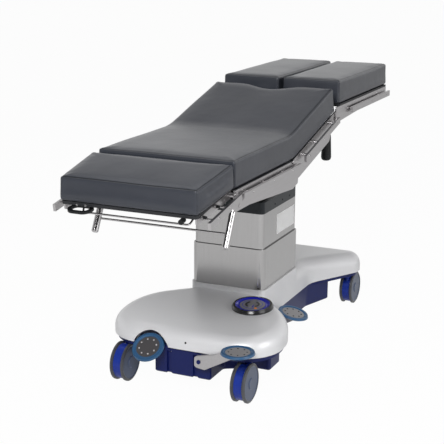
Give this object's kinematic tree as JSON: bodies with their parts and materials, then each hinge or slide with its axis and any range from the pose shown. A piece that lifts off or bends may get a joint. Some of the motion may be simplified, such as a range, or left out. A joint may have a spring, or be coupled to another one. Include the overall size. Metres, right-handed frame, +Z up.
{
  "type": "operating table",
  "caption": "Mobile operating table: padded top in jointed head, back, seat and split leg sections on a telescopic column, over a moulded base with casters and foot pedals.",
  "frame": {"origin": "on the floor under the middle of the table's overall length and width", "axes": "+X towards the leg end, +Y towards the left side of a patient lying face up with the head at -X, +Z up"},
  "size_m": [2.1218, 0.692, 1.0814],
  "materials": {
    "upholstery": "satin",
    "silver_cover": "satin",
    "navy_frame": "satin",
    "stainless_shell": "satin",
    "stainless_rail": "satin",
    "machined_steel": "satin",
    "silver_plate": "satin",
    "cast_arm": "satin",
    "anthracite_cap": "satin",
    "dark_panel": "matte",
    "dark_plastic": "satin",
    "navy_plastic": "satin",
    "grey_plastic": "satin",
    "blue_plastic": "satin",
    "wheel_rubber": "satin"
  },
  "bodies": {
    "base": {"base_cover": "silver_cover", "chassis": "navy_frame", "lower_housing": "navy_frame", "column_lower_shell": "stainless_shell", "column_guide": "dark_plastic", "dial_ring": "navy_plastic"},
    "lift_lower": {"column_upper_shell": "stainless_shell"},
    "lift_upper": {"column_post": "machined_steel", "column_cap": "anthracite_cap", "tilt_yoke": "anthracite_cap"},
    "tilt_block": {"tilt_cross": "machined_steel"},
    "seat": {"seat_carrier": "anthracite_cap", "seat_panel": "dark_panel", "seat_side_left": "silver_plate", "seat_side_right": "silver_plate", "seat_rail_left": "stainless_rail", "seat_rail_right": "stainless_rail", "seat_pad": "upholstery", "leg_hinge_shaft": "machined_steel"},
    "back": {"back_panel": "dark_panel", "back_side_left": "silver_plate", "back_side_right": "silver_plate", "back_rail_left": "stainless_rail", "back_rail_right": "stainless_rail", "back_pad": "upholstery"},
    "head": {"head_panel": "dark_panel", "head_side_left": "silver_plate", "head_side_right": "silver_plate", "head_rail_left": "stainless_rail", "head_rail_right": "stainless_rail", "head_pad": "upholstery", "head_knob": "dark_plastic"},
    "release_handle": {"release_handle": "silver_plate"},
    "release_bail": {"release_bail": "machined_steel"},
    "release_paddle": {"release_paddle": "dark_plastic"},
    "leg_left": {"leg_panel_left": "dark_panel", "leg_side_left": "silver_plate", "leg_rail_left": "stainless_rail", "leg_pad_left": "upholstery"},
    "leg_right": {"leg_panel_right": "dark_panel", "leg_side_right": "silver_plate", "leg_rail_right": "stainless_rail", "leg_pad_right": "upholstery"},
    "grip_left": {"leg_grip_left": "dark_plastic"},
    "grip_right": {"leg_grip_right": "dark_plastic"},
    "pump_pedal": {"pump_pedal_arm": "cast_arm", "pump_pedal_pad": "grey_plastic"},
    "brake_pedal": {"brake_pedal_arm": "cast_arm", "brake_pedal_pad": "grey_plastic"},
    "drive_pedal": {"drive_pedal_arm": "cast_arm", "drive_pedal_pad": "grey_plastic"},
    "dial_knob": {"dial_knob": "grey_plastic"},
    "caster_front_left": {"caster_front_left_body": "blue_plastic"},
    "wheels_front_left": {"caster_front_left_wheels": "wheel_rubber"},
    "caster_front_right": {"caster_front_right_body": "blue_plastic"},
    "wheels_front_right": {"caster_front_right_wheels": "wheel_rubber"},
    "caster_rear_left": {"caster_rear_left_body": "blue_plastic"},
    "wheels_rear_left": {"caster_rear_left_wheels": "wheel_rubber"},
    "caster_rear_right": {"caster_rear_right_body": "blue_plastic"},
    "wheels_rear_right": {"caster_rear_right_wheels": "wheel_rubber"}
  },
  "joints": [
    {"name": "lift_stage_lower", "type": "slide", "parent": "base", "child": "lift_lower", "axis": [0, 0, 1], "range_m": [-0.12, 0.13]},
    {"name": "lift_stage_upper", "type": "slide", "parent": "lift_lower", "child": "lift_upper", "axis": [0, 0, 1], "range_m": [0, 0.18]},
    {"name": "table_pitch", "type": "hinge", "parent": "lift_upper", "child": "tilt_block", "pos_m": [-0.016, 0, 0.7], "axis": [0, -1, 0], "range_deg": [-33, 15]},
    {"name": "table_roll", "type": "hinge", "parent": "tilt_block", "child": "seat", "pos_m": [-0.02513, 0, 0.73894], "axis": [0.9736, 0, 0.2284], "range_deg": [-20, 20]},
    {"name": "back_fold", "type": "hinge", "parent": "seat", "child": "back", "pos_m": [-0.201, 0, 0.826], "axis": [0, 1, 0], "range_deg": [-30, 42]},
    {"name": "head_fold", "type": "hinge", "parent": "back", "child": "head", "pos_m": [-0.769, 0, 0.822], "axis": [0, 1, 0], "range_deg": [-35, 16]},
    {"name": "leg_fold_left", "type": "hinge", "parent": "seat", "child": "leg_left", "pos_m": [0.30593, 0, 0.92436], "axis": [0, 1, 0], "range_deg": [-15, 65]},
    {"name": "leg_fold_right", "type": "hinge", "parent": "seat", "child": "leg_right", "pos_m": [0.30593, 0, 0.92436], "axis": [0, 1, 0], "range_deg": [-15, 65]},
    {"name": "release_swing", "type": "hinge", "parent": "back", "child": "release_handle", "pos_m": [-0.739, 0, 0.779], "axis": [0, 1, 0], "range_deg": [-18, 18]},
    {"name": "bail_pull", "type": "hinge", "parent": "head", "child": "release_bail", "pos_m": [-0.92988, 0, 0.80187], "axis": [0, 1, 0], "range_deg": [-10, 13]},
    {"name": "paddle_pull", "type": "hinge", "parent": "head", "child": "release_paddle", "pos_m": [-0.98462, 0, 0.78967], "axis": [0, 1, 0], "range_deg": [-20, 5]},
    {"name": "grip_turn_left", "type": "hinge", "parent": "seat", "child": "grip_left", "pos_m": [0.30593, 0, 0.92436], "axis": [0, 1, 0], "range_deg": [-14, 14]},
    {"name": "grip_turn_right", "type": "hinge", "parent": "seat", "child": "grip_right", "pos_m": [0.30593, 0, 0.92436], "axis": [0, 1, 0], "range_deg": [-14, 14]},
    {"name": "pump_press", "type": "hinge", "parent": "base", "child": "pump_pedal", "pos_m": [-0.637, -0.082, 0.14], "axis": [1, 0, 0], "range_deg": [0, 9], "stiffness_Nm_per_rad": 60},
    {"name": "brake_press", "type": "hinge", "parent": "base", "child": "brake_pedal", "pos_m": [-0.589, 0, 0.128], "axis": [0, -1, 0], "range_deg": [-8, 12]},
    {"name": "drive_press", "type": "hinge", "parent": "base", "child": "drive_pedal", "pos_m": [-0.062, -0.172, 0.124], "axis": [1, 0, 0], "range_deg": [0, 12], "stiffness_Nm_per_rad": 60},
    {"name": "dial_turn", "type": "hinge", "parent": "base", "child": "dial_knob", "pos_m": [-0.335, -0.165, 0.26854], "axis": [-0.0786, 0, 0.9969], "range_deg": [-120, 120]},
    {"name": "swivel_front_left", "type": "hinge", "parent": "base", "child": "caster_front_left", "pos_m": [-0.578, 0.252, 0.152], "axis": [0, 0, 1], "continuous": true},
    {"name": "roll_front_left", "type": "hinge", "parent": "caster_front_left", "child": "wheels_front_left", "pos_m": [-0.616, 0.252, 0.075], "axis": [0, 1, 0], "continuous": true},
    {"name": "swivel_front_right", "type": "hinge", "parent": "base", "child": "caster_front_right", "pos_m": [-0.578, -0.252, 0.152], "axis": [0, 0, 1], "continuous": true},
    {"name": "roll_front_right", "type": "hinge", "parent": "caster_front_right", "child": "wheels_front_right", "pos_m": [-0.616, -0.252, 0.075], "axis": [0, 1, 0], "continuous": true},
    {"name": "swivel_rear_left", "type": "hinge", "parent": "base", "child": "caster_rear_left", "pos_m": [0.616, 0.252, 0.152], "axis": [0, 0, 1], "continuous": true},
    {"name": "roll_rear_left", "type": "hinge", "parent": "caster_rear_left", "child": "wheels_rear_left", "pos_m": [0.654, 0.252, 0.075], "axis": [0, 1, 0], "continuous": true},
    {"name": "swivel_rear_right", "type": "hinge", "parent": "base", "child": "caster_rear_right", "pos_m": [0.616, -0.252, 0.152], "axis": [0, 0, 1], "continuous": true},
    {"name": "roll_rear_right", "type": "hinge", "parent": "caster_rear_right", "child": "wheels_rear_right", "pos_m": [0.654, -0.252, 0.075], "axis": [0, 1, 0], "continuous": true}
  ]
}
